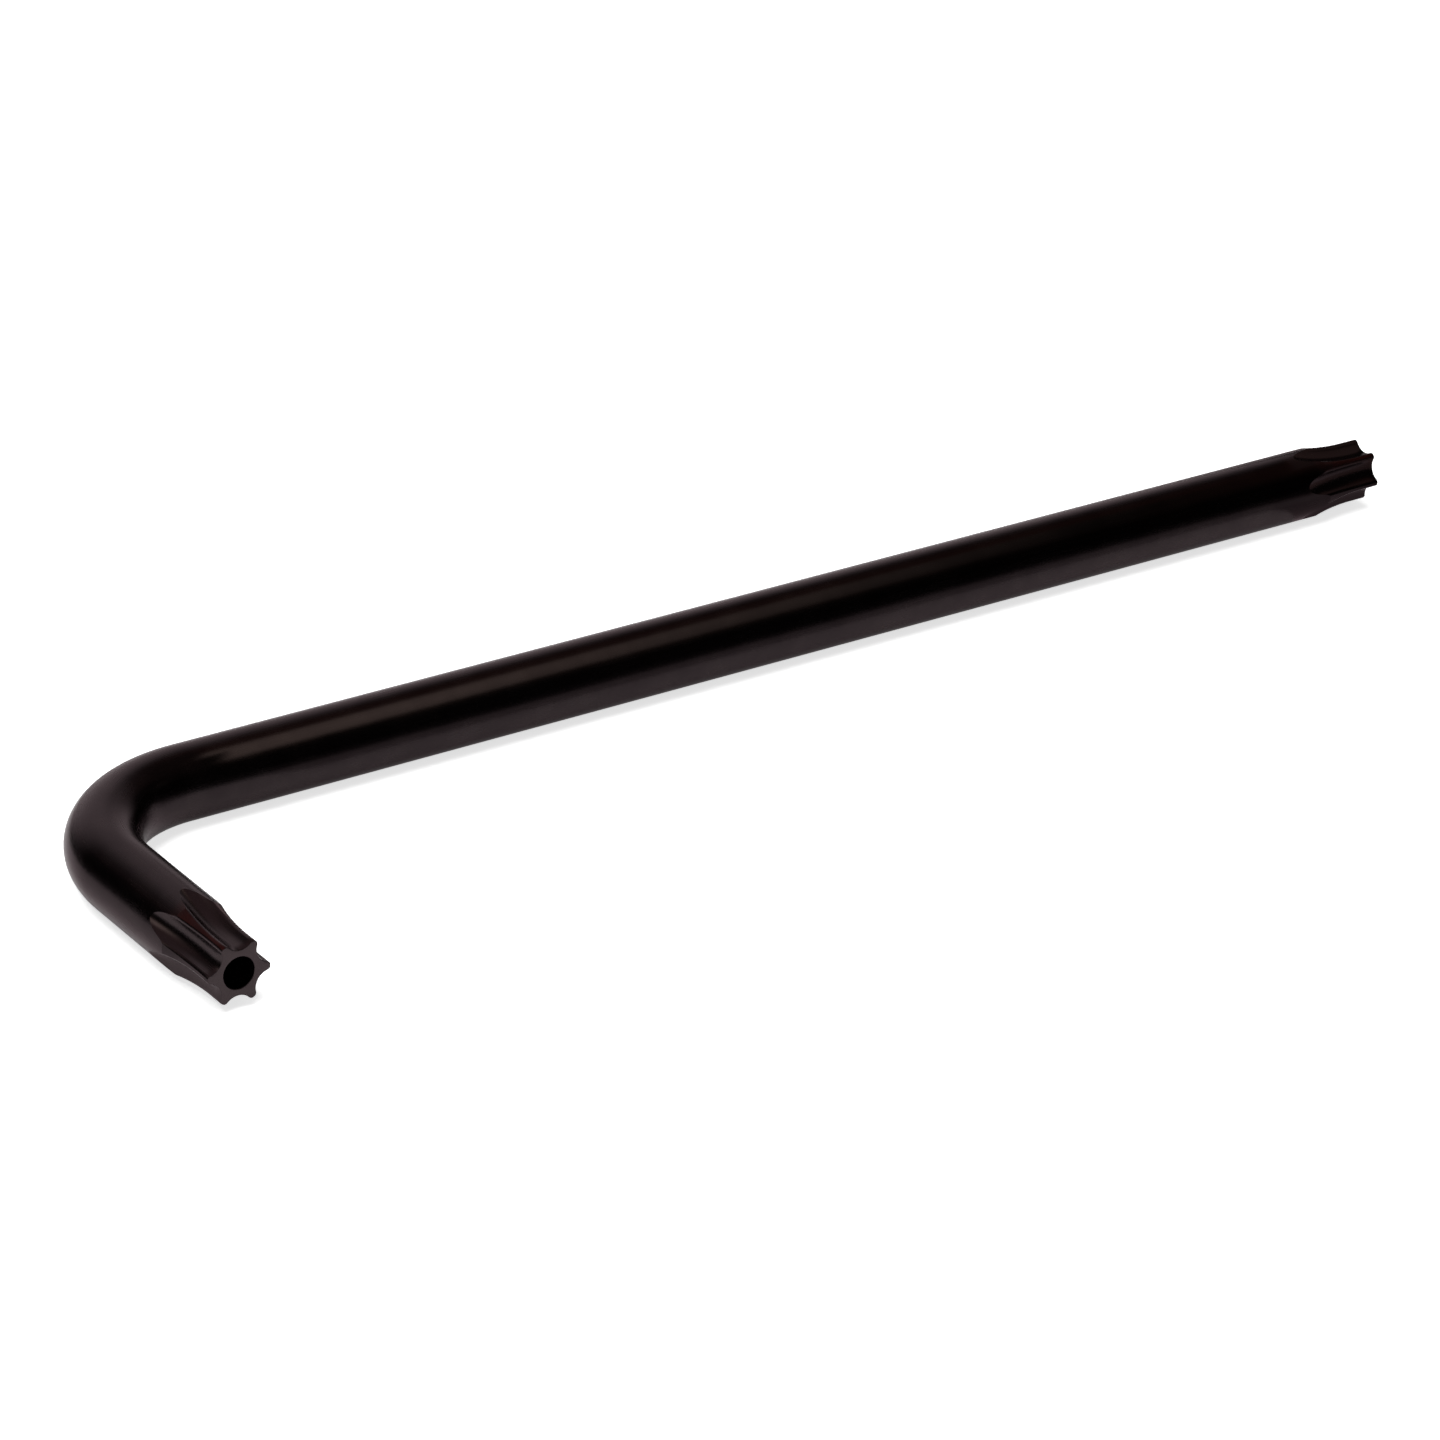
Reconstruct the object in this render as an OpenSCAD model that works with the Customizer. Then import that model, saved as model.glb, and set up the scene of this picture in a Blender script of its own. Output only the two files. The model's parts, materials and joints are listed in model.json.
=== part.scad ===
// Bent key for six-lobe security screws: one round steel rod, bent square,
// with the same star tip on both ends. Each tip has a blind hole that clears
// the pin in the middle of a security screw. The key lies flat on Z = 0, with
// its long arm along +X and its short arm along -Y.

/* [Rod] */
// Diameter of the round rod
rod_d = 4.5; // [4.2:0.1:5.6]
// Length over all of the long arm, from the back of the bend to its face
long_arm = 98.8; // [60:0.1:160]
// Length over all of the short arm, from the back of the bend to its face
short_arm = 23.3; // [19:0.1:45]
// Radius of the bend, to the middle of the rod
bend_r = 8.4; // [6:0.1:10]

/* [Star] */
// Size over two opposite points of the star
over_points = 3.86; // [3.8:0.01:4]
// Size over two opposite flutes of the star
over_flutes = 2.72; // [2.66:0.01:2.84]
// Radius that rounds each point of the star
corner_r = 0.25; // [0.2:0.01:0.3]
// Length of full star section behind each face
star_length = 1.2; // [0.6:0.1:3]
// Radius of the sweep that lifts the flutes out into the rod
sweep_r = 13.5; // [8:0.1:18]
// Turn of the short arm's star about its arm, from points level with the bend
short_star_turn = -2; // [-30:1:30]
// Turn of the long arm's star about its arm, from points level with the bend
long_star_turn = 11; // [-30:1:30]

/* [Pin hole] */
// Diameter of the hole that clears the screw's pin
pin_hole_d = 1.9; // [1.4:0.05:2.1]
// Depth of the hole's straight wall
pin_hole_depth = 4; // [2:0.1:8]
// Angle across the cone that the drill leaves at the bottom of the hole
drill_angle = 118; // [90:1:140]

/* [Hidden] */
$fn = 96;

// How far cuts run past the surfaces that they open
past = 1;
// Depth of the narrow flat that is turned on each point
point_flat = 0.015;
// How far a flute's arc cuts into a point's rounding, so that the two cross
bite = 0.002;
// Angle by which a cut's outer end stays clear of the next cut
side_gap = 12;

lobes = 6;
half_pitch = 180 / lobes;

rod_r = rod_d / 2;
crest_r = over_points / 2;
root_r = over_flutes / 2;

// Distance from the middle of the rod to the centre of a point's rounding
corner_c = crest_r + point_flat - corner_r;

// Radius of the flute's arc, from touching the rounding of the points beside it
touch_r = corner_r - bite;
flute_r = (corner_c ^ 2 + root_r ^ 2 - 2 * cos(half_pitch) * corner_c * root_r - touch_r ^ 2)
    / (2 * (touch_r - root_r + corner_c * cos(half_pitch)));
flute_c = root_r + flute_r;

// Distance from the middle of the rod to the sweep's axis, and its turn until the cut has left the rod
sweep_axis = crest_r + sweep_r;
sweep_angle = acos((sweep_axis - rod_r - past) / (sweep_axis - root_r));
// The points lie half a pitch off the sweep's middle, so they rise more slowly than the flutes
crest_sweep_r = sweep_r / cos(half_pitch);

// Centre of the rounding of the point on one side of a flute that lies along X
function corner_at(side) = corner_c * [cos(half_pitch), side * sin(half_pitch)];

// Where the flute's arc touches that rounding
function touch_at(side) =
    let (centre = [flute_c, 0], way = corner_at(side) - centre)
    centre + way * flute_r / norm(way);

// Outer end of the cut beside that point
function mouth_at(side) =
    corner_at(side)
    + 2 * rod_r * [cos(half_pitch - side_gap), side * sin(half_pitch - side_gap)];

// Section of the cut that leaves one flute along X, between two rounded points
module flute_section() {
    difference() {
        polygon([
            touch_at(1), corner_at(1), mouth_at(1),
            mouth_at(-1), corner_at(-1), touch_at(-1)
        ]);
        for (side = [-1, 1]) {
            translate(corner_at(side)) circle(r = corner_r);
        }
    }
    translate([flute_c, 0]) circle(r = flute_r);
}

// Cut for one flute: straight behind the face, then swept out of the rod
module flute_cut() {
    translate([0, 0, -star_length]) {
        linear_extrude(star_length + past) flute_section();
        translate([sweep_axis, 0, 0])
            rotate([-90, 0, 180])
                rotate_extrude(angle = sweep_angle)
                    translate([sweep_axis, 0])
                        mirror([1, 0])
                            flute_section();
    }
}

// Half section of what is turned off over the points, with a hollow shoulder up to the rod
module crest_section() {
    width = rod_r + past - crest_r;
    translate([crest_r, -star_length]) {
        square([width, star_length + past]);
        intersection() {
            translate([crest_sweep_r, 0]) circle(r = crest_sweep_r);
            translate([0, -crest_sweep_r]) square([width, crest_sweep_r]);
        }
    }
}

// Half section of the blind hole, with the drill's cone at its bottom
module hole_section() {
    hole_r = pin_hole_d / 2;
    cone = hole_r / tan(drill_angle / 2);
    polygon([
        [0, past],
        [hole_r, past],
        [hole_r, -pin_hole_depth],
        [0, -pin_hole_depth - cone]
    ]);
}

// All that is cut from one tip, with its face on Z = 0, the rod below it and a point along X
module tip_cut() {
    rotate_extrude() crest_section();
    for (k = [0 : lobes - 1]) {
        rotate([0, 0, (2 * k + 1) * half_pitch]) flute_cut();
    }
    rotate_extrude() hole_section();
}

// The bent rod before its tips are cut, with the arms' middle lines crossing at the origin
module bent_rod() {
    corner = rod_r + bend_r;
    translate([bend_r, 0, 0])
        rotate([0, 90, 0]) cylinder(r = rod_r, h = long_arm - corner);
    translate([bend_r, -bend_r, 0])
        rotate([0, 0, 90])
            rotate_extrude(angle = 90)
                translate([bend_r, 0]) circle(r = rod_r);
    translate([0, -bend_r, 0])
        rotate([90, 0, 0]) cylinder(r = rod_r, h = short_arm - corner);
}

module key() {
    color([0.16, 0.14, 0.14])
        translate([rod_r - long_arm / 2, short_arm / 2 - rod_r, rod_r])
            difference() {
                bent_rod();
                translate([long_arm - rod_r, 0, 0])
                    rotate([90, 0, 90])
                        rotate([0, 0, long_star_turn]) tip_cut();
                translate([0, rod_r - short_arm, 0])
                    rotate([90, 0, 0])
                        rotate([0, 0, short_star_turn]) tip_cut();
            }
}

key();
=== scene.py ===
"""Studio picture of an L-shaped six-lobe key in black oxide steel, lying on a pale table.

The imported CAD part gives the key's box and its pin hole. The key is modelled again here with
finer surfaces, in the same frame and at the same size, and stands for the CAD part. Lengths
are in metres, with +X along the long arm, -Y along the short arm and +Z up. Angles written as
plain numbers are in degrees.
"""

import json
import logging
import math
from dataclasses import dataclass
from enum import Enum
from typing import Union

import bpy
import numpy as np
from mathutils import Matrix, Vector


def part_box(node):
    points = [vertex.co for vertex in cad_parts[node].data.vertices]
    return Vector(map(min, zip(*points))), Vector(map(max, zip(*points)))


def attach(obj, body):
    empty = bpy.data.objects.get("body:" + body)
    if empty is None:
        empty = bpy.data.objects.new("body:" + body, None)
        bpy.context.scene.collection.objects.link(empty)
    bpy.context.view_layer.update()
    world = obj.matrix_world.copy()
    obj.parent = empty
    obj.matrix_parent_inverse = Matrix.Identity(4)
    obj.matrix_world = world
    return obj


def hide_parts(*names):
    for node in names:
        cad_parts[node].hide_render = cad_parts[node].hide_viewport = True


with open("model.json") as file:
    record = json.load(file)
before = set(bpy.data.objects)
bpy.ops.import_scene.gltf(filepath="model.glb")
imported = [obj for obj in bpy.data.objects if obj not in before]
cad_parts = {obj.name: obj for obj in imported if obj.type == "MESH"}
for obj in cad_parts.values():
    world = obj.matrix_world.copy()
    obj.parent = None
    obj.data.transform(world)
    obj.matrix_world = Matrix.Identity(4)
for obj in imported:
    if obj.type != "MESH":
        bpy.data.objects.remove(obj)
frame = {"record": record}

LOG = logging.getLogger("key")
MM = 0.001

# The CAD part's names, and the name of the piece that stands for it
BODY = "root"
NODE = "key"
PIECE = "bent_key"

# The attributes that the key's points carry for its finish and for the painted reflection on the
# upper lands
STRAIGHT = "straightened"
GROUND = "ground"
PAINTED_LAND_REFLECTION = "land"

# Points nearer than MERGE are one point, and a point nearer than TOUCH to a surface is on it
MERGE = 0.0001 * MM
TOUCH = 0.003 * MM

RIGHT_ANGLE = 90.0
DEGREES_PER_RADIAN = math.degrees(1)
BLACK = (0.0, 0.0, 0.0, 1.0)
WHITE = (1.0, 1.0, 1.0, 1.0)

Colour = tuple[float, float, float, float]
Triple = tuple[float, float, float]
Span = tuple[float, float]
SocketName = Union[str, int]


# Shader graphs


class Output(Enum):
    """The two kinds of output node."""

    MATERIAL = "ShaderNodeOutputMaterial"
    WORLD = "ShaderNodeOutputWorld"


@dataclass(frozen=True)
class Value:
    """A number that varies over a surface, with arithmetic that adds Math nodes."""

    graph: "Graph"
    socket: bpy.types.NodeSocket

    def __add__(self, other: "Given") -> "Value":
        """The sum."""
        return self.graph.maths("ADD", self, other)

    def __radd__(self, other: "Given") -> "Value":
        """The sum, from the right."""
        return self.graph.maths("ADD", other, self)

    def __sub__(self, other: "Given") -> "Value":
        """The difference."""
        return self.graph.maths("SUBTRACT", self, other)

    def __rsub__(self, other: "Given") -> "Value":
        """The difference, from the right."""
        return self.graph.maths("SUBTRACT", other, self)

    def __mul__(self, other: "Given") -> "Value":
        """The product."""
        return self.graph.maths("MULTIPLY", self, other)

    def __rmul__(self, other: "Given") -> "Value":
        """The product, from the right."""
        return self.graph.maths("MULTIPLY", other, self)

    def step(self, low: float, high: float) -> "Value":
        """A soft step up over a span of the number.

        Args:
            low: Where the step starts, at 0.
            high: Where the step ends, at 1.

        Returns:
            A number from 0 to 1.
        """
        return self.graph.value(
            "ShaderNodeMapRange",
            {"interpolation_type": "SMOOTHSTEP"},
            {"Value": self, "From Min": low, "From Max": high},
        )

    def clamped(self) -> "Value":
        """The number, held between 0 and 1."""
        return self.graph.value("ShaderNodeClamp", {}, {0: self})


Given = Union[Value, bpy.types.NodeSocket, float, tuple]


class Graph:
    """The node graph of one material or of the world."""

    # Places of the sockets that a Mix node uses for colours
    MIX_FACTOR = 0
    MIX_FIRST = 6
    MIX_SECOND = 7
    MIX_RESULT = 2

    def __init__(self, tree: bpy.types.NodeTree) -> None:
        """Empties the graph.

        Args:
            tree: The node tree to fill.
        """
        self.tree = tree
        tree.nodes.clear()

    def node(
        self, kind: str, settings: dict[str, object], inputs: dict[SocketName, Given]
    ) -> bpy.types.Node:
        """Adds a node, sets its settings first, and then its sockets.

        Args:
            kind: The node's type.
            settings: Its settings, by name.
            inputs: The numbers, sockets or values for its inputs, by name or place.

        Returns:
            The new node.
        """
        node = self.tree.nodes.new(kind)
        for name, setting in settings.items():
            setattr(node, name, setting)
        for name, given in inputs.items():
            source = given.socket if isinstance(given, Value) else given
            if isinstance(source, bpy.types.NodeSocket):
                self.tree.links.new(source, node.inputs[name])
            else:
                node.inputs[name].default_value = source
        return node

    def value(
        self,
        kind: str,
        settings: dict[str, object],
        inputs: dict[SocketName, Given],
        output: SocketName = 0,
    ) -> Value:
        """Adds a node and returns one of its outputs as a number."""
        return Value(self, self.node(kind, settings, inputs).outputs[output])

    def maths(self, operation: str, first: Given, second: Given = 0.0) -> Value:
        """Adds one Math node and returns its result."""
        return self.value("ShaderNodeMath", {"operation": operation}, {0: first, 1: second})

    def mix_colour(self, factor: Given, first: Given, second: Given) -> bpy.types.NodeSocket:
        """Mixes two colours.

        Args:
            factor: How much of the second colour there is, from 0 to 1.
            first: A colour or a colour socket.
            second: A colour or a colour socket.

        Returns:
            The mixed colour's socket.
        """
        inputs = {self.MIX_FACTOR: factor, self.MIX_FIRST: first, self.MIX_SECOND: second}
        return self.node("ShaderNodeMix", {"data_type": "RGBA"}, inputs).outputs[self.MIX_RESULT]

    def stretched(self, vector: Given, factors: Triple) -> bpy.types.NodeSocket:
        """A vector with each of its parts multiplied by its own factor."""
        node = self.node("ShaderNodeVectorMath", {"operation": "MULTIPLY"}, {0: vector, 1: factors})
        return node.outputs[0]

    def noise(self, vector: Given, scale: float, detail: float, roughness: float = 0.5) -> Value:
        """A field of soft noise between about 0 and 1.

        Args:
            vector: The place that the noise is read at.
            scale: How many blotches go into a unit of length.
            detail: How many finer layers of noise are added.
            roughness: How strong each finer layer is beside the one before.

        Returns:
            The noise, which is 0.5 in the middle.
        """
        return self.value(
            "ShaderNodeTexNoise",
            {},
            {"Vector": vector, "Scale": scale, "Detail": detail, "Roughness": roughness},
        )

    def place(self) -> list[Value]:
        """Reads the place on the piece itself.

        Returns:
            The numbers along X, Y and Z.
        """
        spot = self.node("ShaderNodeTexCoord", {}, {}).outputs["Object"]
        split = self.node("ShaderNodeSeparateXYZ", {}, {0: spot})
        return [Value(self, split.outputs[axis]) for axis in "XYZ"]

    def finish_with(self, shader: bpy.types.NodeSocket, output: Output) -> None:
        """Connects a shader to the graph's output node of that kind."""
        self.node(output.value, {}, {"Surface": shader})

    def finish_as_glow(self, colour: Given) -> None:
        """Makes the material a plain glow of one colour."""
        glow = self.node("ShaderNodeEmission", {}, {"Color": colour})
        self.finish_with(glow.outputs[0], Output.MATERIAL)


def new_material(name: str) -> tuple[bpy.types.Material, Graph]:
    """Makes an empty material.

    Args:
        name: The material's name.

    Returns:
        The material and its graph.
    """
    material = bpy.data.materials.new(name)
    material.use_nodes = True
    return material, Graph(material.node_tree)


# Finishes


@dataclass(frozen=True)
class BlackOxide:
    """Satin black oxide on drawn steel, slightly paler where ground, with a painted reddish
    reflection in brown on the upper lands.

    The ground places, and the lands that carry the painted brown reflection, are a little less
    metallic, by ground_bare and land_bare. Each pair of patches is the span of the noise over
    which that colour comes in.
    """

    dark: Colour = (0.0200, 0.0152, 0.0163, 1.0)
    light: Colour = (0.0240, 0.0184, 0.0194, 1.0)
    ground: Colour = (0.0400, 0.0300, 0.0315, 1.0)
    # Painted reddish reflection, laid on the upper lands
    painted_brown_reflection: Colour = (0.0320, 0.0068, 0.0058, 1.0)
    edge_tint: Colour = (0.71, 0.66, 0.67, 1.0)
    ground_bare: float = 0.04
    land_bare: float = 0.16
    roughness: float = 0.26
    roughness_spread: float = 0.08
    noise_middle: float = 0.5
    patches_per_metre: float = 420.0
    patch_detail: float = 4.0
    light_patches: Span = (0.35, 0.65)
    painted_reflection_patches: Span = (0.1, 0.5)
    grain_per_metre: float = 9000.0
    grain_detail: float = 2.0
    line_stretch: Triple = (40.0, 5200.0, 5200.0)
    line_detail: float = 3.0
    line_sharpness: float = 0.6
    line_height: float = 0.25
    bump_depth: float = 0.000004
    bump_strength: float = 0.35

    def material(self) -> bpy.types.Material:
        """Builds the material, which follows the attributes that the key carries.

        Returns:
            The finish for the whole key.
        """
        material, graph = new_material("black_oxide")
        straight = graph.node("ShaderNodeAttribute", {"attribute_name": STRAIGHT}, {})
        place = straight.outputs["Vector"]
        ground, land = (
            graph.value("ShaderNodeAttribute", {"attribute_name": name}, {}, "Fac")
            for name in (GROUND, PAINTED_LAND_REFLECTION)
        )
        patches = graph.noise(place, self.patches_per_metre, self.patch_detail)
        grain = graph.noise(place, self.grain_per_metre, self.grain_detail)
        along_rod = graph.stretched(place, self.line_stretch)
        lines = graph.noise(along_rod, 1.0, self.line_detail, self.line_sharpness)
        colour = graph.mix_colour(patches.step(*self.light_patches), self.dark, self.light)
        colour = graph.mix_colour(ground, colour, self.ground)
        # Painted reddish reflection: brown on the upper lands, in patches of the noise
        colour = graph.mix_colour(land * patches.step(*self.painted_reflection_patches), colour, self.painted_brown_reflection)
        spread = (patches - self.noise_middle) * self.roughness_spread
        spread = spread + (lines - self.noise_middle) * self.roughness_spread
        height = lines * self.line_height + grain * (1.0 - self.line_height)
        bump = graph.node(
            "ShaderNodeBump",
            {},
            {"Strength": self.bump_strength, "Distance": self.bump_depth, "Height": height},
        )
        shader = graph.node(
            "ShaderNodeBsdfPrincipled",
            {},
            {
                "Base Color": colour,
                "Metallic": 1.0 - ground * self.ground_bare - land * self.land_bare,
                "Specular Tint": self.edge_tint,
                "Roughness": spread + self.roughness,
                "Normal": bump.outputs[0],
            },
        )
        graph.finish_with(shader.outputs[0], Output.MATERIAL)
        return material


def seen_directly(graph: Graph, looked_at: float, mirrored: float, otherwise: float) -> Value:
    """A number for what the camera sees, one for what a reflection sees, and one for soft light.

    Args:
        graph: The graph that uses the number.
        looked_at: The number for the camera, and through clear material.
        mirrored: The number for a reflection.
        otherwise: The number for all other light.

    Returns:
        The number for the ray at hand.
    """
    path = graph.node("ShaderNodeLightPath", {}, {})
    rays = ("Is Camera Ray", "Is Glossy Ray", "Is Transmission Ray")
    camera, glossy, transmission = (Value(graph, path.outputs[ray]) for ray in rays)
    directly = (camera + transmission).clamped() * (looked_at - otherwise)
    return directly + glossy * (mirrored - otherwise) + otherwise


@dataclass(frozen=True)
class TableTop:
    """A matt white table, lifted to plain white where it is looked at."""

    colour: Colour = (0.86, 0.86, 0.86, 1.0)
    lift: float = 0.70
    mirrored_lift: float = 0.29

    def material(self) -> bpy.types.Material:
        """Builds the material.

        Returns:
            The finish for the table's top.
        """
        material, graph = new_material("table_top")
        matt = graph.node("ShaderNodeBsdfDiffuse", {}, {"Color": self.colour})
        strength = seen_directly(graph, self.lift, self.mirrored_lift, 0.0)
        glow = graph.node("ShaderNodeEmission", {}, {"Strength": strength})
        both = graph.node("ShaderNodeAddShader", {}, {0: matt.outputs[0], 1: glow.outputs[0]})
        graph.finish_with(both.outputs[0], Output.MATERIAL)
        return material


# Modelling helpers


def start_alone() -> None:
    """Leaves edit mode with nothing selected, so that the next operator works on its own piece."""
    if bpy.context.object and bpy.context.object.mode != "OBJECT":
        bpy.ops.object.mode_set(mode="OBJECT")
    bpy.ops.object.select_all(action="DESELECT")


def select_edges(piece: bpy.types.Object, chosen: np.ndarray) -> None:
    """Selects some edges of a mesh in edit mode, and nothing else.

    Args:
        piece: The object in edit mode.
        chosen: One truth value for each edge.
    """
    bpy.ops.mesh.select_mode(type="EDGE")
    bpy.ops.mesh.select_all(action="DESELECT")
    bpy.ops.object.mode_set(mode="OBJECT")
    piece.data.edges.foreach_set("select", np.asarray(chosen, bool))
    bpy.ops.object.mode_set(mode="EDIT")


def points_of(piece: bpy.types.Object) -> np.ndarray:
    """Reads the places of a mesh's vertices, in or out of edit mode.

    Args:
        piece: The object to read.

    Returns:
        One row for each vertex.
    """
    piece.update_from_editmode()
    places = np.empty(len(piece.data.vertices) * 3)
    piece.data.vertices.foreach_get("co", places)
    return places.reshape(-1, 3)


def edge_ends(piece: bpy.types.Object) -> np.ndarray:
    """Reads the numbers of the two vertices of each edge.

    Args:
        piece: The object to read, with its mesh up to date.

    Returns:
        One row for each edge.
    """
    ends = np.empty(len(piece.data.edges) * 2, int)
    piece.data.edges.foreach_get("vertices", ends)
    return ends.reshape(-1, 2)


def on_circle(angles: np.ndarray) -> np.ndarray:
    """The points of a circle of radius 1 at some angles in radians, one row for each."""
    return np.column_stack([np.cos(angles), np.sin(angles)])


def ramp(numbers: np.ndarray, low: float, high: float) -> np.ndarray:
    """A straight rise from 0 at low to 1 at high, level on both sides."""
    return np.clip((numbers - low) / (high - low), 0.0, 1.0)


def trimmed(curve: np.ndarray, radius: float) -> np.ndarray:
    """The part of a curve from its start to where it first reaches a radius.

    Args:
        curve: Points that lead away from the middle of the rod, one row for each.
        radius: Where the curve is to end.

    Returns:
        The points inside the radius, and then the one on it.
    """
    radii = np.hypot(curve[:, 0], curve[:, 1])
    inside = radii < radius
    last = max(len(curve) - 1 if inside.all() else int(np.argmin(inside)), 1)
    share = np.clip((radius - radii[last - 1]) / (radii[last] - radii[last - 1]), 0.0, 1.0)
    end = curve[last - 1] + share * (curve[last] - curve[last - 1])
    return np.vstack([curve[:last], end])


def smooth(piece: bpy.types.Object) -> None:
    """Smooths the surfaces, keeps the marked creases and lets flat faces stay flat.

    Args:
        piece: The object, selected and active.
    """
    bpy.ops.object.shade_smooth(keep_sharp_edges=True)
    bpy.ops.object.modifier_add(type="WEIGHTED_NORMAL")
    weighting = piece.modifiers[-1]
    weighting.keep_sharp = True
    bpy.ops.object.modifier_apply(modifier=weighting.name)


# The key


@dataclass(frozen=True)
class Rod:
    """The bent round rod, with its arms' middle lines crossing at the corner."""

    radius: float
    long_arm: float
    short_arm: float
    bend_radius: float = 8.4 * MM
    bend_steps: int = 40

    @classmethod
    def from_frame(cls) -> "Rod":
        """Takes the overall sizes from the CAD part's box.

        Returns:
            A rod of the CAD part's size.
        """
        low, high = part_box(NODE)
        size = high - low
        return cls(radius=size.z / 2, long_arm=size.x, short_arm=size.y)

    @property
    def corner(self) -> Vector:
        """Where the middle lines of the two arms cross."""
        low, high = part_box(NODE)
        return Vector((low.x + self.radius, high.y - self.radius, low.z + self.radius))

    @property
    def bend_centre(self) -> Vector:
        """The point that the bend turns about."""
        return self.corner + Vector((self.bend_radius, -self.bend_radius, 0))

    @property
    def long_reach(self) -> float:
        """Length from the corner to the long arm's face."""
        return self.long_arm - self.radius

    @property
    def short_reach(self) -> float:
        """Length from the corner to the short arm's face."""
        return self.short_arm - self.radius

    @property
    def bend_length(self) -> float:
        """Length of the bend's middle line."""
        return self.bend_radius * math.pi / 2

    @property
    def length(self) -> float:
        """Length of the whole middle line, from face to face."""
        arms = self.long_reach + self.short_reach - 2 * self.bend_radius
        return arms + self.bend_length

    def bend(self, segments: int) -> bpy.types.Object:
        """Spins a circle through a quarter turn, from the short arm to the long one.

        Args:
            segments: How many edges go round the rod.

        Returns:
            The bend, open at both ends.
        """
        start_alone()
        bpy.ops.mesh.primitive_circle_add(
            vertices=segments,
            radius=self.radius,
            location=self.corner + Vector((0, -self.bend_radius, 0)),
            rotation=(math.radians(RIGHT_ANGLE), 0, 0),
        )
        piece = bpy.context.object
        bpy.ops.object.transform_apply()
        bpy.ops.object.mode_set(mode="EDIT")
        bpy.ops.mesh.select_all(action="SELECT")
        bpy.ops.mesh.spin(
            steps=self.bend_steps,
            angle=math.radians(RIGHT_ANGLE),
            center=self.bend_centre,
            axis=(0, 0, 1),
        )
        bpy.ops.object.mode_set(mode="OBJECT")
        return piece

    def straightened(self, points: np.ndarray) -> np.ndarray:
        """Where each point would be if the rod were unbent, so that patterns run along it.

        Args:
            points: Places on or in the rod, one row for each.

        Returns:
            Rows of distance from the short arm's face, place across the rod in the plane of the
            bend, and height above the middle line.
        """
        offset = points - np.array(self.corner)
        from_centre = points - np.array(self.bend_centre)
        short_straight = self.short_reach - self.bend_radius
        turn = np.arctan2(from_centre[:, 1], -from_centre[:, 0])
        along = short_straight + turn * self.bend_radius
        outward = np.hypot(from_centre[:, 0], from_centre[:, 1]) - self.bend_radius
        on_short = from_centre[:, 1] < 0
        along = np.where(on_short, offset[:, 1] + self.short_reach, along)
        outward = np.where(on_short, -offset[:, 0], outward)
        on_long = (from_centre[:, 0] > 0) & ~on_short
        past_bend = short_straight + self.bend_length + from_centre[:, 0]
        along = np.where(on_long, past_bend, along)
        outward = np.where(on_long, offset[:, 1], outward)
        return np.column_stack([along, outward, offset[:, 2]])


class Ring(Enum):
    """The two rings of edges on a tip's face."""

    OUTLINE = "outline"
    RIM = "rim"


class Arm(Enum):
    """The key's two arms: the way out to the face, and the way of an unturned point."""

    SHORT = ((0, -1, 0), (1, 0, 0))
    LONG = ((1, 0, 0), (0, 1, 0))

    def placing(self, face: Vector, turn: float) -> Matrix:
        """The matrix that takes a tip from its own frame to the arm.

        Args:
            face: The middle of the arm's face.
            turn: How far the star is turned about the arm.

        Returns:
            A matrix that takes +Z to the arm's way out and, before the turn, +X to the way of
            an unturned point.
        """
        outward, point = (Vector(way) for way in self.value)
        axes = Matrix((point, outward.cross(point), outward)).transposed().to_4x4()
        return Matrix.Translation(face) @ axes @ Matrix.Rotation(math.radians(turn), 4, "Z")


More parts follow.
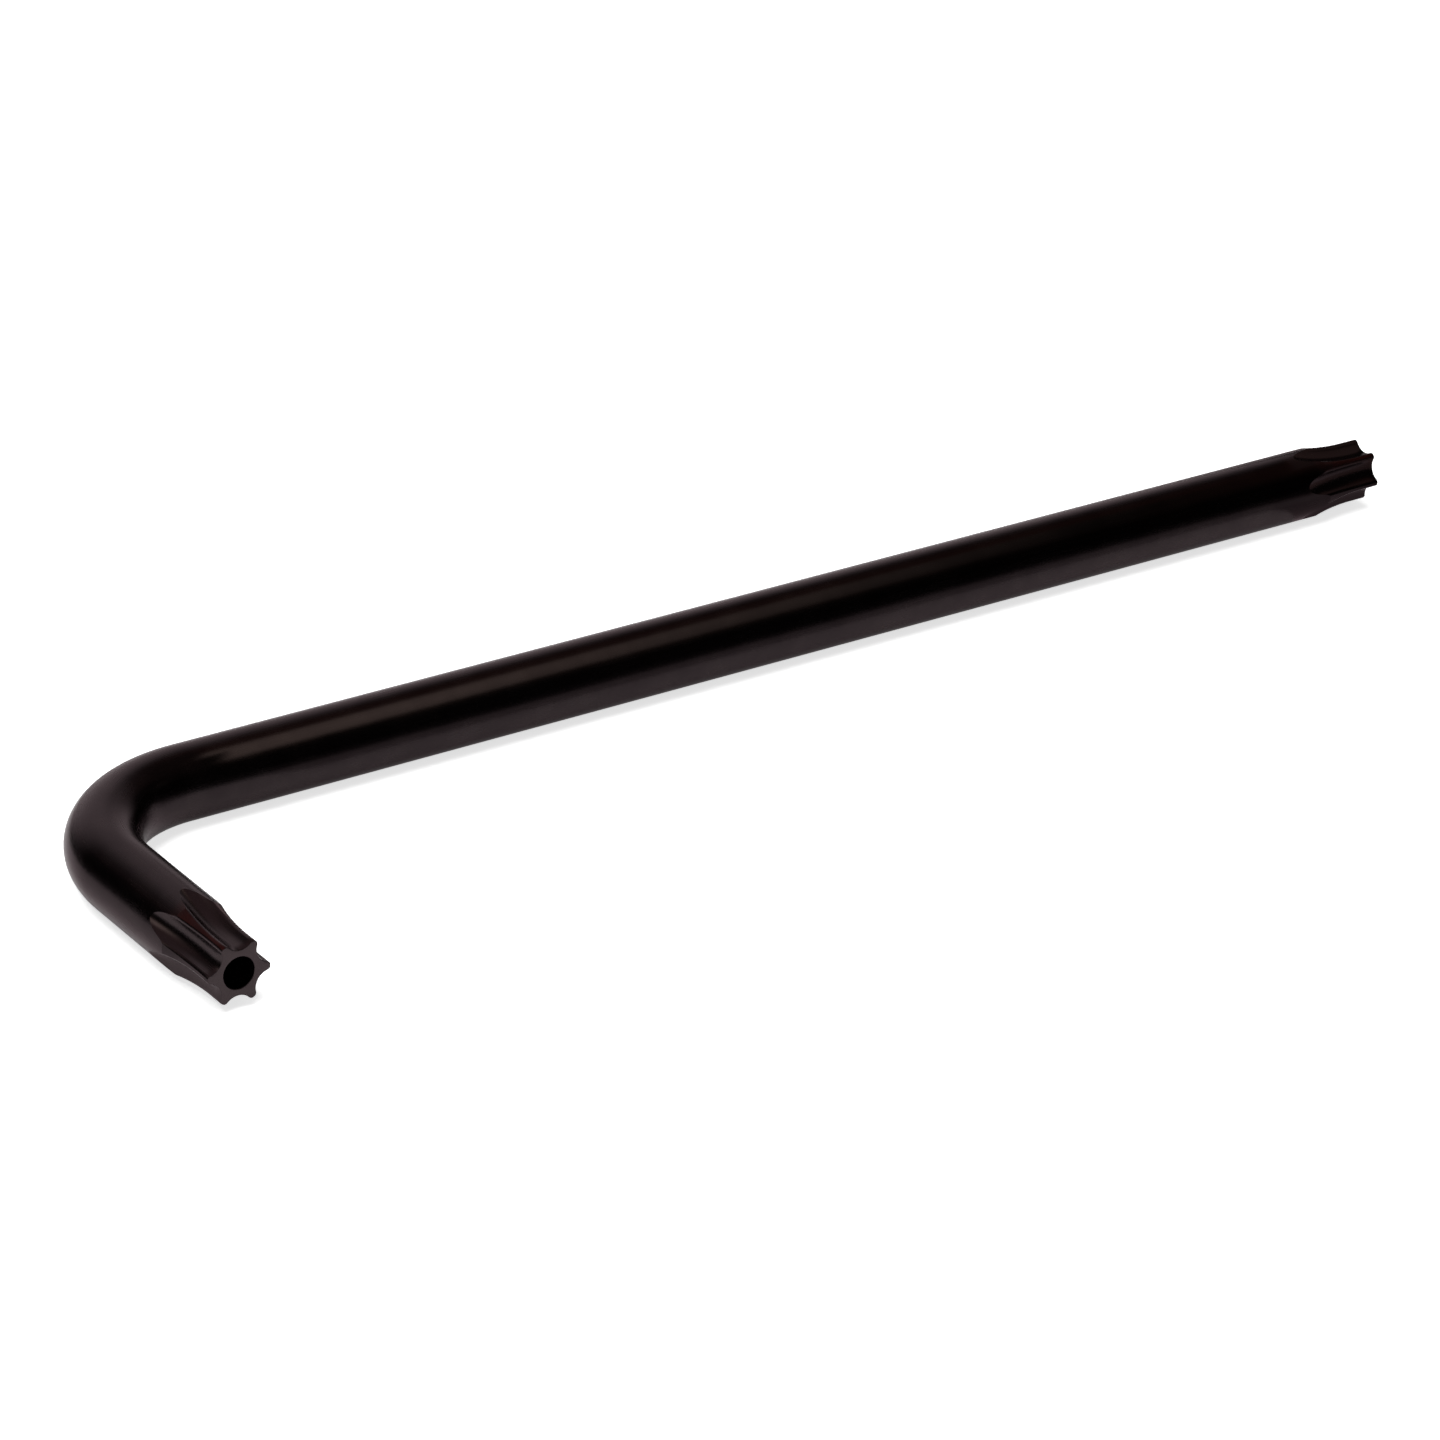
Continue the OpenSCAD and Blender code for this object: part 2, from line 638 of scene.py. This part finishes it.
@dataclass(frozen=True)
class StarTip:
    """One six-lobe tip in its own frame: face on Z = 0, rod below, a point along +X.

    Six flutes run straight behind the face and are then swept out of the rod along an arc. The
    points between them have a hollow shoulder up to the rod, and a blind pin hole is drilled in
    the face. The flutes show the share flute_share of the ground face's paleness. The painted
    reddish reflection on the lands is full up to the first of painted_reflection_fades and gone at
    the second, as shares of the run-outs' depth. It is painted on the upper side only: it starts at
    the first of painted_reflection_heights and is full at the second, as shares of a point's
    radius.
    """

    rod_radius: float
    hole_radius: float
    over_points: float = 3.86 * MM
    over_flutes: float = 2.72 * MM
    corner_radius: float = 0.25 * MM
    star_length: float = 1.2 * MM
    sweep_radius: float = 13.5 * MM
    point_flat: float = 0.015 * MM
    hole_depth: float = 4.0 * MM
    drill_angle: float = 118.0
    face_break: float = 0.03 * MM
    rim_break: float = 0.05 * MM
    break_steps: int = 2
    flute_share: float = 0.6
    painted_reflection_fades: Span = (0.55, 0.85)
    painted_reflection_heights: Span = (0.3, 0.8)
    lobes: int = 6
    side_columns: int = 14
    land_columns: int = 8
    straight_rows: int = 2
    shoulder_rows: int = 14
    run_out_rows: int = 18
    run_out_crowding: int = 2
    curve_samples: int = 400
    rounding_crowding: float = 3.0

    @property
    def half_pitch(self) -> float:
        """Angle from the middle of a flute to the middle of a point, in radians."""
        return math.pi / self.lobes

    @property
    def rod_segments(self) -> int:
        """How many edges go round the rod behind the tip."""
        return 2 * self.lobes * self.land_columns

    @property
    def point_radius(self) -> float:
        """From the middle of the rod to the outside of a point."""
        return self.over_points / 2

    @property
    def flute_floor(self) -> float:
        """From the middle of the rod to the bottom of a flute."""
        return self.over_flutes / 2

    @property
    def corner_centre(self) -> float:
        """From the middle of the rod to the centre of a point's rounding."""
        return self.point_radius + self.point_flat - self.corner_radius

    @property
    def flute_radius(self) -> float:
        """Radius of the flute's arc, which touches the roundings beside it.

        Returns:
            The radius in the straight part.
        """
        corner, floor, rounding = self.corner_centre, self.flute_floor, self.corner_radius
        across = 2 * math.cos(self.half_pitch) * corner
        rise = corner**2 + floor**2 - across * floor - rounding**2
        return rise / (2 * (rounding - floor) + across)

    @property
    def sweep_axis(self) -> float:
        """From the middle of the rod to the axis that the flutes are swept about."""
        return self.point_radius + self.sweep_radius

    @property
    def hollow_radius(self) -> float:
        """Radius of the points' hollow shoulder, along the rod."""
        return self.sweep_radius / math.cos(self.half_pitch)

    @property
    def shoulder_depth(self) -> float:
        """Depth at which the points reach the rod's own radius.

        Returns:
            The depth behind the face.
        """
        hollow = self.hollow_radius
        rise = self.rod_radius - self.point_radius
        return self.star_length + math.sqrt(hollow**2 - (hollow - rise) ** 2)

    @property
    def run_out_depth(self) -> float:
        """Depth at which the flutes have left the rod.

        Returns:
            The depth behind the face.
        """
        near = self.sweep_axis - self.rod_radius
        far = self.sweep_axis - self.flute_floor
        return self.star_length + math.sqrt(far**2 - near**2)

    def land_radius(self, depth: float) -> float:
        """Radius of the points' outside at some depth.

        Args:
            depth: Depth behind the face.

        Returns:
            The radius, which is never more than the rod's.
        """
        past = max(depth - self.star_length, 0.0)
        rise = self.hollow_radius - math.sqrt(self.hollow_radius**2 - past**2)
        return min(self.point_radius + rise, self.rod_radius)

    def flank(self) -> np.ndarray:
        """Section of half a flute with the rounding beside it, the flute along X, from its floor.

        Returns:
            Points of the curve, one row for each, from the floor to past the point's outside.
        """
        centre = np.array([self.flute_floor + self.flute_radius, 0.0])
        corner = self.corner_centre * np.array(
            [math.cos(self.half_pitch), math.sin(self.half_pitch)]
        )
        way = corner - centre
        touch = math.atan2(way[1], way[0])
        flute_arc = np.linspace(math.pi, touch, self.curve_samples)
        flute = centre + self.flute_radius * on_circle(flute_arc)
        round_arc = np.linspace(touch - math.pi, self.half_pitch, self.curve_samples)[1:]
        rounding = corner + self.corner_radius * on_circle(round_arc)
        return np.vstack([flute, rounding])

    def swept(self, flank: np.ndarray, depth: float) -> np.ndarray:
        """The flank's section at some depth, lifted along the sweep.

        Args:
            flank: The flank's section in the straight part.
            depth: Depth behind the face.

        Returns:
            The section's points at that depth.
        """
        past = max(depth - self.star_length, 0.0)
        arm = self.sweep_axis - flank[:, 0]
        lifted = self.sweep_axis - np.sqrt(arm**2 - past**2)
        return np.column_stack([lifted, flank[:, 1]])

    def spaced(self, side: np.ndarray) -> np.ndarray:
        """Spreads a side's columns along it, closer together on the rounding.

        Args:
            side: The side's points, close together.

        Returns:
            One point for each column, and one for the flute's middle.
        """
        lengths = np.hypot(*np.diff(side, axis=0).T)
        on_flute = np.arange(len(lengths)) < self.curve_samples
        weights = lengths * np.where(on_flute, 1.0, self.rounding_crowding)
        travel = np.concatenate([[0.0], np.cumsum(weights)])
        stops = np.linspace(0.0, travel[-1], self.side_columns + 1)
        return np.column_stack([np.interp(stops, travel, side[:, axis]) for axis in (0, 1)])

    def half_section(self, flank: np.ndarray, depth: float) -> np.ndarray:
        """Half of one lobe's outline at some depth, from the flute's middle to the point's.

        Args:
            flank: The flank's section in the straight part.
            depth: Depth behind the face.

        Returns:
            The outline's points: the columns of the flank, and then those of the land.
        """
        land = self.land_radius(depth)
        side = self.spaced(trimmed(self.swept(flank, depth), land))
        start = math.atan2(side[-1, 1], side[-1, 0])
        angles = np.linspace(start, self.half_pitch, self.land_columns + 1)[1:]
        return np.vstack([side, land * on_circle(angles)])

    def zones(
        self, depths: np.ndarray, radii: np.ndarray, heights: np.ndarray
    ) -> dict[str, np.ndarray]:
        """How bright each point is ground, and how much painted reddish reflection it has on the
        upper lands.

        Args:
            depths: Depth of each point behind the nearer face.
            radii: Distance of each point from the middle line.
            heights: Height of each point above the middle line.

        Returns:
            A number from 0 to 1 for each point, by the name of the zone.
        """
        lands = np.array([self.land_radius(min(depth, self.run_out_depth)) for depth in depths])
        on_tip = depths < self.run_out_depth + MERGE
        below = radii < lands - TOUCH
        in_hole = (radii < self.hole_radius + TOUCH) & (depths > TOUCH)
        ground = np.where(depths > TOUCH, self.flute_share, 1.0)
        # Painted reddish reflection on the lands, fading towards the run-outs, on the upper side
        # only
        kept = 1.0 - ramp(depths / self.run_out_depth, *self.painted_reflection_fades)
        upper = ramp(heights / self.point_radius, *self.painted_reflection_heights)
        return {
            GROUND: (on_tip & below & ~in_hole) * ground,
            PAINTED_LAND_REFLECTION: (on_tip & ~below) * kept * upper,
        }

    def row_depths(self) -> np.ndarray:
        """Depths of the rows of vertices, closer together towards the run-outs' round ends.

        Returns:
            The depths behind the face, from the face.
        """
        straight = np.linspace(0.0, self.star_length, self.straight_rows + 1)
        shoulder = np.linspace(self.star_length, self.shoulder_depth, self.shoulder_rows + 1)
        steps = np.linspace(1.0, 0.0, self.run_out_rows + 1) ** self.run_out_crowding
        run_out = self.run_out_depth - (self.run_out_depth - self.shoulder_depth) * steps
        return np.concatenate([straight, shoulder[1:], run_out[1:]])

    def outside(self) -> bpy.types.Object:
        """Shapes a grid into one lobe and turns copies of it about the rod.

        Returns:
            The tip's outside in edit mode, open at the face and behind the run-outs.
        """
        start_alone()
        columns = self.side_columns + self.land_columns
        depths = self.row_depths()
        rows = len(depths) - 1
        bpy.ops.mesh.primitive_grid_add(x_subdivisions=2 * columns, y_subdivisions=rows, size=2)
        piece = bpy.context.object
        spots = points_of(piece)
        column = np.rint(spots[:, 0] * columns).astype(int)
        row = np.rint((spots[:, 1] + 1) / 2 * rows).astype(int)
        flank = self.flank()
        sections = [self.half_section(flank, depth) for depth in depths]
        for vertex, place, level in zip(piece.data.vertices, column, row):
            across, side = sections[level][abs(place)]
            vertex.co = (across, math.copysign(side, place), -depths[level])
        self.mark_creases(piece, np.abs(column), row)
        bpy.ops.object.mode_set(mode="EDIT")
        bpy.ops.mesh.select_all(action="SELECT")
        bpy.ops.mesh.spin(
            steps=self.lobes, dupli=True, angle=2 * math.pi, center=(0, 0, 0), axis=(0, 0, 1)
        )
        bpy.ops.mesh.select_all(action="SELECT")
        bpy.ops.mesh.remove_doubles(threshold=MERGE)
        bpy.ops.transform.rotate(
            value=self.half_pitch, orient_axis="Z", center_override=(0, 0, 0)
        )
        return piece

    def mark_creases(self, piece: bpy.types.Object, column: np.ndarray, row: np.ndarray) -> None:
        """Marks the edges beside the lands, and those where the shoulders meet the rod.

        Args:
            piece: The shaped grid of one lobe.
            column: How many columns each vertex lies from the middle of the flute.
            row: The row of each vertex, from the face.
        """
        first, second = edge_ends(piece).T
        beside = (column[first] == self.side_columns) & (column[second] == self.side_columns)
        on_land = (column[first] >= self.side_columns) & (column[second] >= self.side_columns)
        shoulder_row = self.straight_rows + self.shoulder_rows
        at_shoulder = (row[first] == shoulder_row) & (row[second] == shoulder_row)
        piece.data.edges.foreach_set("use_edge_sharp", beside | (on_land & at_shoulder))

    def drill(self, piece: bpy.types.Object) -> None:
        """Closes the front with a flat face, drills the pin hole in it and breaks its edges.

        Args:
            piece: The tip's outside, in edit mode.
        """
        select_edges(piece, self.ring(piece, Ring.OUTLINE))
        bpy.ops.mesh.extrude_edges_move()
        bpy.ops.object.mode_set(mode="OBJECT")
        for vertex in piece.data.vertices:
            if vertex.select:
                vertex.co *= self.hole_radius / vertex.co.length
        bpy.ops.object.mode_set(mode="EDIT")
        cone = self.hole_radius / math.tan(math.radians(self.drill_angle / 2))
        for drop in (self.hole_depth, cone):
            bpy.ops.mesh.extrude_edges_move(TRANSFORM_OT_translate={"value": (0, 0, -drop)})
        bpy.ops.mesh.merge(type="CENTER")
        for ring, width in ((Ring.RIM, self.rim_break), (Ring.OUTLINE, self.face_break)):
            select_edges(piece, self.ring(piece, ring))
            bpy.ops.mesh.bevel(offset=width, segments=self.break_steps, affect="EDGES")

    def ring(self, piece: bpy.types.Object, wanted: Ring) -> np.ndarray:
        """Finds one closed ring of edges on the face.

        Args:
            piece: The tip, in edit mode.
            wanted: The star's outline or the hole's rim.

        Returns:
            One truth value for each edge.
        """
        spots = points_of(piece)
        radii = np.hypot(spots[:, 0], spots[:, 1])
        middle = (self.hole_radius + self.flute_floor) / 2
        beyond = radii > middle if wanted is Ring.OUTLINE else radii < middle
        on_ring = beyond & (np.abs(spots[:, 2]) < MERGE)
        first, second = edge_ends(piece).T
        return on_ring[first] & on_ring[second]

    def build(self, placing: Matrix) -> bpy.types.Object:
        """Models the tip and puts it on its arm.

        Args:
            placing: The matrix from the tip's own frame to the key's.

        Returns:
            The tip, open at its back.
        """
        piece = self.outside()
        self.drill(piece)
        bpy.ops.object.mode_set(mode="OBJECT")
        piece.matrix_world = placing
        bpy.ops.object.transform_apply()
        return piece


@dataclass(frozen=True)
class Key:
    """The whole key: a bent rod with a star tip on each arm, in one piece."""

    rod: Rod
    tip: StarTip
    finish: BlackOxide
    short_turn: float = -2.0
    long_turn: float = 11.0
    short_cuts: int = 4
    long_cuts: int = 48

    @classmethod
    def from_frame(cls) -> "Key":
        """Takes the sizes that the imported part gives.

        Returns:
            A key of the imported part's size.
        """
        rod = Rod.from_frame()
        holes = [m for m in frame["record"]["mounts"] if m["kind"] == "bore"]
        tip = StarTip(rod_radius=rod.radius, hole_radius=holes[0]["dims"]["r_mm"] * MM)
        return cls(rod=rod, tip=tip, finish=BlackOxide())

    def faces(self) -> dict[Arm, Vector]:
        """The middle of each arm's face."""
        return {
            Arm.SHORT: self.rod.corner + Vector((0, -self.rod.short_reach, 0)),
            Arm.LONG: self.rod.corner + Vector((self.rod.long_reach, 0, 0)),
        }

    def close_gap(self, piece: bpy.types.Object, arm: Arm, cuts: int) -> None:
        """Bridges the straight stretch between the bend and one tip.

        Args:
            piece: The joined key, in edit mode.
            arm: The arm to close.
            cuts: How many rings of edges the stretch gets.
        """
        bpy.ops.mesh.select_mode(type="EDGE")
        bpy.ops.mesh.select_all(action="DESELECT")
        bpy.ops.mesh.select_non_manifold()
        spots = points_of(piece)
        first, second = edge_ends(piece).T
        chosen = np.empty(len(piece.data.edges), bool)
        piece.data.edges.foreach_get("select", chosen)
        middles = (spots[first] + spots[second]) / 2 - np.array(self.rod.bend_centre)
        on_arm = middles[:, 0] > -MERGE if arm is Arm.LONG else middles[:, 1] < MERGE
        select_edges(piece, chosen & on_arm)
        bpy.ops.mesh.bridge_edge_loops(number_cuts=cuts)

    def model(self) -> bpy.types.Object:
        """Joins the bend and the two tips into one closed mesh.

        Returns:
            The whole key without its finish, selected and active.
        """
        faces = self.faces()
        short_tip = self.tip.build(Arm.SHORT.placing(faces[Arm.SHORT], self.short_turn))
        long_tip = self.tip.build(Arm.LONG.placing(faces[Arm.LONG], self.long_turn))
        piece = self.rod.bend(self.tip.rod_segments)
        start_alone()
        for part in (short_tip, long_tip, piece):
            part.select_set(True)
        bpy.context.view_layer.objects.active = piece
        bpy.ops.object.join()
        bpy.ops.object.mode_set(mode="EDIT")
        self.close_gap(piece, Arm.SHORT, self.short_cuts)
        self.close_gap(piece, Arm.LONG, self.long_cuts)
        bpy.ops.mesh.select_all(action="SELECT")
        bpy.ops.mesh.normals_make_consistent(inside=False)
        bpy.ops.object.mode_set(mode="OBJECT")
        return piece

    def dress(self, piece: bpy.types.Object) -> None:
        """Gives the key its finish, and the straightened places and zones that it follows.

        Args:
            piece: The key, with its mesh finished.
        """
        straightened = self.rod.straightened(points_of(piece))
        places = piece.data.attributes.new(STRAIGHT, "FLOAT_VECTOR", "POINT")
        places.data.foreach_set("vector", straightened.ravel())
        depths = np.minimum(straightened[:, 0], self.rod.length - straightened[:, 0])
        radii = np.hypot(straightened[:, 1], straightened[:, 2])
        for name, share in self.tip.zones(depths, radii, straightened[:, 2]).items():
            zone = piece.data.attributes.new(name, "FLOAT", "POINT")
            zone.data.foreach_set("value", share)
        piece.data.materials.clear()
        piece.data.materials.append(self.finish.material())

    def build(self) -> bpy.types.Object:
        """Models the key, dresses it and puts it in the CAD part's place.

        Returns:
            The finished piece.
        """
        piece = self.model()
        piece.name = PIECE
        smooth(piece)
        self.dress(piece)
        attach(piece, BODY)
        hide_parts(NODE)
        return piece


# The studio


def only_in_reflections(piece: bpy.types.Object) -> None:
    """Keeps a piece of the studio out of every ray but those that a glossy surface sends.

    Args:
        piece: The room or a panel.
    """
    piece.visible_camera = False
    piece.visible_diffuse = False
    piece.visible_transmission = False
    piece.visible_shadow = False


@dataclass(frozen=True)
class Table:
    """The plain pale table."""

    size: float = 8.0
    finish: TableTop = TableTop()

    def build(self) -> bpy.types.Object:
        """Lays the table top at the height that the key lies on.

        Returns:
            The table top.
        """
        start_alone()
        low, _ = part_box(NODE)
        bpy.ops.mesh.primitive_plane_add(size=self.size, location=(0, 0, low.z))
        piece = bpy.context.object
        piece.name = "table_top"
        piece.data.materials.append(self.finish.material())
        return piece


@dataclass(frozen=True)
class Patch:
    """A soft-edged glow on the room's wall, by bearings from +X and heights above the table.

    Each span is where one edge of the glow starts and ends.
    """

    colour: Colour
    sets_in: Span
    dies_away: Span
    foot: Span
    top: Span

    def cover(self, bearing: Value, height: Value) -> Value:
        """How much of the patch there is in one direction.

        Args:
            bearing: The direction's bearing.
            height: The direction's height.

        Returns:
            A number from 0 to 1.
        """
        across = bearing.step(*self.sets_in) * (1.0 - bearing.step(*self.dies_away))
        return across * height.step(*self.foot) * (1.0 - height.step(*self.top))


# What the dome shows to the key, each patch over those before it
PATCHES = (
    # Brown glow, high over the far tip
    Patch((0.21, 0.10, 0.08, 1.0), (-60, -20), (50, 90), (36, 54), (80, 100)),
    # Pale wall behind the camera
    Patch((0.80, 0.76, 0.77, 1.0), (-170, -145), (-100, -72), (2, 16), (42, 60)),
    # Pale ceiling, straight overhead
    Patch((0.80, 0.76, 0.77, 1.0), (-200, -190), (190, 200), (74, 86), (100, 110)),
    # Dimmer glows beyond the back of the bend, one high and one lower
    Patch((0.58, 0.44, 0.44, 1.0), (64, 86), (166, 180), (42, 58), (100, 120)),
    Patch((0.42, 0.30, 0.30, 1.0), (108, 128), (166, 180), (22, 46), (100, 120)),
    # White wall beyond the key, and its higher part
    Patch((1.06, 1.02, 1.03, 1.0), (20, 42), (80, 118), (-14, 6), (18, 41)),
    Patch((1.06, 1.02, 1.03, 1.0), (46, 70), (80, 118), (-4, 16), (38, 62)),
    # Small warm window beside the bend
    Patch((2.3, 2.1, 1.85, 1.0), (144, 158), (168, 179), (26, 38), (46, 58)),
)


@dataclass(frozen=True)
class Room:
    """A dark dome round the table with soft glows on it, which only reflections show."""

    radius: float = 1.5
    segments: int = 72
    rings: int = 36
    dark: Colour = (0.002, 0.001, 0.001, 1.0)
    patches: tuple[Patch, ...] = PATCHES

    def material(self) -> bpy.types.Material:
        """Builds the glow of the walls.

        Returns:
            The finish for the dome.
        """
        material, graph = new_material("walls")
        x, y, z = graph.place()
        bearing = graph.maths("ARCTAN2", y, x) * DEGREES_PER_RADIAN
        height = graph.maths("ARCSINE", z * (1 / self.radius)) * DEGREES_PER_RADIAN
        colour = self.dark
        for patch in self.patches:
            colour = graph.mix_colour(patch.cover(bearing, height), colour, patch.colour)
        graph.finish_as_glow(colour)
        return material

    def build(self) -> bpy.types.Object:
        """Adds the dome over the table.

        Returns:
            The dome.
        """
        start_alone()
        bpy.ops.mesh.primitive_uv_sphere_add(
            segments=self.segments, ring_count=self.rings, radius=self.radius
        )
        piece = bpy.context.object
        piece.name = "room"
        bpy.ops.object.mode_set(mode="EDIT")
        bpy.ops.mesh.select_all(action="SELECT")
        bpy.ops.mesh.bisect(plane_co=(0, 0, 0), plane_no=(0, 0, 1), clear_inner=True)
        bpy.ops.object.mode_set(mode="OBJECT")
        piece.data.materials.append(self.material())
        only_in_reflections(piece)
        return piece


@dataclass(frozen=True)
class Panel:
    """A level panel over the table or a card on it, which only reflections show.

    Its glow starts to fade at the share fades_from of its length and is gone at its far end, so
    that a panel with 1 there is even all over.
    """

    name: str
    low: Span
    high: Span
    height: float
    colour: Colour
    fades_from: float = 1.0

    def material(self) -> bpy.types.Material:
        """Builds the panel's glow, which dies away along +X.

        Returns:
            The finish for the panel.
        """
        material, graph = new_material(self.name)
        along, _, _ = graph.place()
        length = self.high[0] - self.low[0]
        faded = along.step(self.low[0] + self.fades_from * length, self.high[0] + MERGE)
        graph.finish_as_glow(graph.mix_colour(faded, self.colour, BLACK))
        return material

    def build(self) -> bpy.types.Object:
        """Lays the panel out level.

        Returns:
            The panel.
        """
        start_alone()
        bpy.ops.mesh.primitive_plane_add(size=1)
        low, high = Vector(self.low), Vector(self.high)
        bpy.ops.transform.resize(value=(*(high - low), 1))
        bpy.ops.transform.translate(value=(*(low + high) / 2, self.height))
        bpy.ops.object.transform_apply()
        piece = bpy.context.object
        piece.name = self.name
        piece.data.materials.append(self.material())
        only_in_reflections(piece)
        return piece


# Heights of the panels overhead, of the flags and the glow close over the key, and of the cards
OVERHEAD = 0.0585
OVER_KEY = 0.008
OVER_TIP = 0.006
ON_TABLE = 0.0002

PANELS = (
    Panel("top_panel", (-0.016, -0.024), (0.076, 0.016), OVERHEAD, (1.8, 1.64, 1.39, 1.0), 0.0),
    Panel("side_panel", (-0.060, 0.008), (-0.018, 0.042), OVERHEAD, (0.40, 0.29, 0.30, 1.0)),
    Panel("flag", (-0.0395, 0.0015), (-0.0361, 0.0105), OVER_KEY, (0.10, 0.07, 0.065, 1.0)),
    Panel("flag_tail", (-0.0361, 0.0015), (-0.0345, 0.0080), OVER_KEY, BLACK),
    Panel("grey_card", (-0.030, -0.010), (0.0515, 0.0035), ON_TABLE, (0.65, 0.61, 0.62, 1.0)),
    Panel("front_card", (-0.030, -0.300), (0.300, -0.010), ON_TABLE, BLACK),
    Panel("back_card", (-0.300, 0.026), (-0.050, 0.300), ON_TABLE, BLACK),
    Panel("bend_card", (-0.0500, 0.0260), (-0.0300, 0.1000), ON_TABLE, (0.55, 0.47, 0.48, 1.0)),
    # Painted contact shadow of the far tip on the table, seen only in reflections
    Panel("painted_tip_shadow", (0.0430, 0.0035), (0.0515, 0.0085), ON_TABLE, (0.50, 0.44, 0.46, 1.0)),
    Panel("tip_glow", (0.0440, 0.0078), (0.0530, 0.0108), OVER_TIP, (0.28, 0.20, 0.18, 1.0)),
    # Painted shadow on the table beyond the far tip, dark and brownish, seen only in reflections
    Panel("painted_end_shadow", (0.0515, -0.010), (0.300, 0.080), ON_TABLE, (0.30, 0.21, 0.20, 1.0)),
    Panel("end_flag", (0.0505, 0.009), (0.110, 0.045), OVER_KEY, BLACK),
)


@dataclass(frozen=True)
class Lamp:
    """A soft round lamp that lights the table but isn't mirrored in the key."""

    name: str = "soft_lamp"
    place: Triple = (-0.25, -0.05, 1.00)
    size: float = 0.9
    power: float = 12.5

    def build(self) -> bpy.types.Object:
        """Hangs the lamp, turned to the key.

        Returns:
            The lamp.
        """
        start_alone()
        bpy.ops.object.light_add(type="AREA", location=self.place)
        lamp = bpy.context.object
        lamp.name = self.name
        lamp.rotation_euler = (-Vector(self.place)).to_track_quat("-Z", "Y").to_euler()
        lamp.data.shape = "DISK"
        lamp.data.size = self.size
        lamp.data.energy = self.power
        lamp.visible_camera = False
        lamp.visible_glossy = False
        return lamp


@dataclass(frozen=True)
class Surroundings:
    """The world: plain white where it is looked at, and a dim even fill elsewhere."""

    looked_at: float = 1.0
    fill: float = 0.20

    def build(self) -> None:
        """Fills the world's graph."""
        world = bpy.data.worlds.new("surroundings")
        bpy.context.scene.world = world
        world.use_nodes = True
        graph = Graph(world.node_tree)
        strength = seen_directly(graph, self.looked_at, self.looked_at, self.fill)
        light = graph.node("ShaderNodeBackground", {}, {"Color": WHITE, "Strength": strength})
        graph.finish_with(light.outputs[0], Output.WORLD)


@dataclass(frozen=True)
class View:
    """The camera, from its place, its heading from +X, its pitch, its roll and its lens."""

    place: Triple = (-0.17087, -0.22744, 0.13943)
    heading: float = 54.397
    pitch: float = -26.098
    roll: float = 2.027
    lens: float = 133.08
    sensor: float = 36.0

    def build(self) -> bpy.types.Object:
        """Sets the camera up and makes it the scene's own.

        Returns:
            The camera.
        """
        start_alone()
        level = Matrix.Rotation(math.radians(self.heading - RIGHT_ANGLE), 4, "Z")
        tilt = Matrix.Rotation(math.radians(RIGHT_ANGLE + self.pitch), 4, "X")
        roll = Matrix.Rotation(math.radians(self.roll), 4, "Z")
        bpy.ops.object.camera_add()
        camera = bpy.context.object
        camera.matrix_world = Matrix.Translation(self.place) @ level @ tilt @ roll
        camera.data.sensor_width = self.sensor
        camera.data.lens = self.lens
        camera.data.clip_start = MM
        bpy.context.scene.camera = camera
        return camera


def main() -> None:
    """Builds the key and the studio."""
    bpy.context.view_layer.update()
    View().build()
    bpy.context.scene.view_settings.view_transform = "Standard"
    key = Key.from_frame().build()
    LOG.info("%s: %d faces", key.name, len(key.data.polygons))
    for part in (Table(), Room(), *PANELS, Lamp()):
        LOG.info("%s", part.build().name)
    Surroundings().build()


if __name__ == "__main__":
    logging.basicConfig(level=logging.INFO)
    main()
